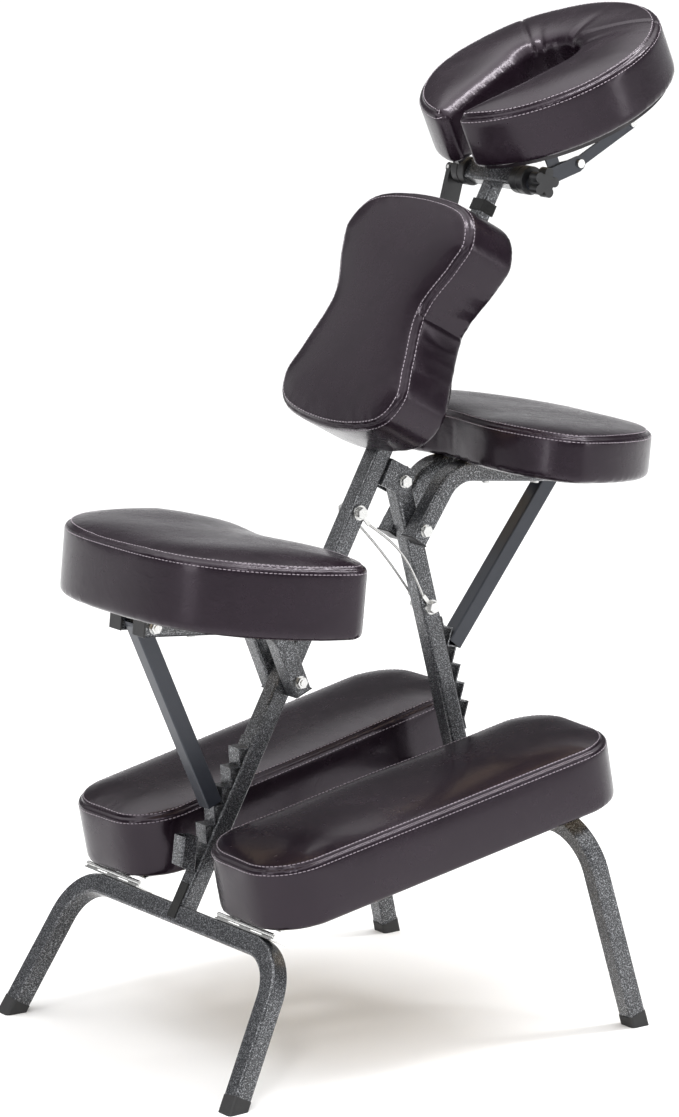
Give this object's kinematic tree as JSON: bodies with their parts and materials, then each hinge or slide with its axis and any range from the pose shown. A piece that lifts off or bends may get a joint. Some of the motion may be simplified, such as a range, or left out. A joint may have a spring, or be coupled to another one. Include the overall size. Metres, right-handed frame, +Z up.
{
  "type": "kneeling massage chair",
  "caption": "Folding steel-tube kneeling chair with hinged knee pads, tilting seat and arm rest on ratchet struts, waisted chest pad and a tilting horseshoe face cradle",
  "frame": {"origin": "On the floor, under the middle of the chair's outer box", "axes": "+X is the way the user faces, +Y is the user's left, +Z is up"},
  "size_m": [0.835, 0.5494, 1.2598],
  "materials": {
    "frame_paint": "dark grey hammertone paint",
    "strut_paint": "satin blue-black paint",
    "bright_steel": "nickel plated",
    "dark_steel": "black oxide",
    "plastic": "fine grain",
    "rubber": "matte",
    "vinyl": "smooth upholstery vinyl over foam",
    "plywood": "raw plywood",
    "tape": "hook tape"
  },
  "bodies": {
    "spine_frame": {"spine_tube": "frame_paint", "rear_foot_frame": "frame_paint", "rear_foot_caps": "rubber", "hinge_bracket": "frame_paint", "seat_ratchet": "frame_paint", "parking_socket": "frame_paint", "hook_tape_patch": "tape", "spine_cross_bolts": "bright_steel", "spine_collar": "plastic", "stem_lock_nut": "frame_paint", "chest_mounting": "frame_paint", "chest_board": "plywood", "chest_cushion": "vinyl", "knee_hinge_lower_leaves": "bright_steel", "cable_left": "bright_steel", "cable_right": "bright_steel", "cable_ends_spine": "bright_steel"},
    "front_frame": {"front_post": "frame_paint", "front_foot_frame": "frame_paint", "front_foot_caps": "rubber", "arm_rest_ratchet": "frame_paint", "post_top_plug": "plastic", "post_cross_bolts": "bright_steel", "knee_rest_strips": "plastic", "cable_ends_post": "bright_steel"},
    "knee_pad_right": {"knee_board_right": "plywood", "knee_cushion_right": "vinyl", "knee_hinge_upper_right": "bright_steel"},
    "knee_pad_left": {"knee_board_left": "plywood", "knee_cushion_left": "vinyl", "knee_hinge_upper_left": "bright_steel"},
    "seat": {"seat_support_tubes": "frame_paint", "seat_tube_plugs": "plastic", "seat_board": "plywood", "seat_cushion": "vinyl", "seat_fasteners": "bright_steel"},
    "seat_strut": {"seat_strut": "strut_paint"},
    "arm_rest": {"arm_rest_support_tubes": "frame_paint", "arm_rest_tube_plugs": "plastic", "arm_rest_board": "plywood", "arm_rest_cushion": "vinyl", "arm_rest_fasteners": "bright_steel"},
    "arm_rest_strut": {"arm_rest_strut": "strut_paint"},
    "head_stem": {"head_stem": "frame_paint", "head_crossbar": "frame_paint", "clutch_inner_halves": "plastic", "clamp_rod": "dark_steel", "stem_tape_wrap": "tape", "cam_pin": "bright_steel"},
    "cradle_arms": {"cradle_arms": "strut_paint", "clutch_outer_halves": "plastic", "cradle_arm_bolts": "bright_steel"},
    "face_platform": {"platform_rails": "strut_paint", "platform_board": "plywood", "platform_lug_bolts": "bright_steel", "face_cushion": "vinyl"},
    "star_knob": {"star_knob": "plastic"},
    "cam_lever": {"cam_lever": "plastic"},
    "stem_lock_knob": {"stem_lock_knob": "plastic"}
  },
  "joints": [
    {"name": "frame_fold", "type": "hinge", "parent": "spine_frame", "child": "front_frame", "pos_m": [0.02236, 0, 0.67823], "axis": [0, 1, 0], "range_deg": [0, 36], "deforming": ["cable_left", "cable_right"]},
    {"name": "knee_right_lift", "type": "hinge", "parent": "spine_frame", "child": "knee_pad_right", "pos_m": [-0.3118, 0, 0.19083], "axis": [0, -1, 0], "range_deg": [0, 21]},
    {"name": "knee_left_lift", "type": "hinge", "parent": "spine_frame", "child": "knee_pad_left", "pos_m": [-0.3118, 0, 0.19083], "axis": [0, -1, 0], "range_deg": [0, 21]},
    {"name": "seat_tilt", "type": "hinge", "parent": "spine_frame", "child": "seat", "pos_m": [-0.15418, 0, 0.44946], "axis": [0, 1, 0], "range_deg": [0, 24]},
    {"name": "seat_strut_swing", "type": "hinge", "parent": "seat", "child": "seat_strut", "pos_m": [-0.36985, 0, 0.54681], "axis": [0, 1, 0], "range_deg": [-12, 0]},
    {"name": "arm_rest_tilt", "type": "hinge", "parent": "front_frame", "child": "arm_rest", "pos_m": [0.03873, 0, 0.61685], "axis": [0, -1, 0], "range_deg": [0, 20]},
    {"name": "arm_rest_strut_swing", "type": "hinge", "parent": "arm_rest", "child": "arm_rest_strut", "pos_m": [0.2701, 0, 0.66642], "axis": [0, -1, 0], "range_deg": [-10, 0]},
    {"name": "stem_slide", "type": "slide", "parent": "spine_frame", "child": "head_stem", "axis": [0.4833, 0, 0.8755], "range_m": [0, 0.04]},
    {"name": "cradle_tilt", "type": "hinge", "parent": "head_stem", "child": "cradle_arms", "pos_m": [0.17716, 0, 1.04968], "axis": [0, 1, 0], "range_deg": [-25, 60]},
    {"name": "platform_tilt", "type": "hinge", "parent": "cradle_arms", "child": "face_platform", "pos_m": [0.25036, 0, 1.06634], "axis": [0, 1, 0], "range_deg": [0, 24]},
    {"name": "star_knob_turn", "type": "hinge", "parent": "head_stem", "child": "star_knob", "pos_m": [0.17716, 0, 1.04968], "axis": [0, 1, 0], "continuous": true},
    {"name": "cam_lever_flip", "type": "hinge", "parent": "head_stem", "child": "cam_lever", "pos_m": [0.17716, 0.0835, 1.04968], "axis": [0.9632, 0, -0.2689], "range_deg": [0, 100]},
    {"name": "stem_lock_turn", "type": "hinge", "parent": "spine_frame", "child": "stem_lock_knob", "pos_m": [0.12738, 0, 0.95951], "axis": [0.8755, 0, -0.4833], "continuous": true}
  ],
  "couplings": [
    {"joint": "knee_right_lift", "follows": "frame_fold", "ratio": 0.56},
    {"joint": "knee_left_lift", "follows": "frame_fold", "ratio": 0.56},
    {"joint": "seat_strut_swing", "follows": "seat_tilt", "ratio": -0.5},
    {"joint": "arm_rest_strut_swing", "follows": "arm_rest_tilt", "ratio": -0.5}
  ]
}
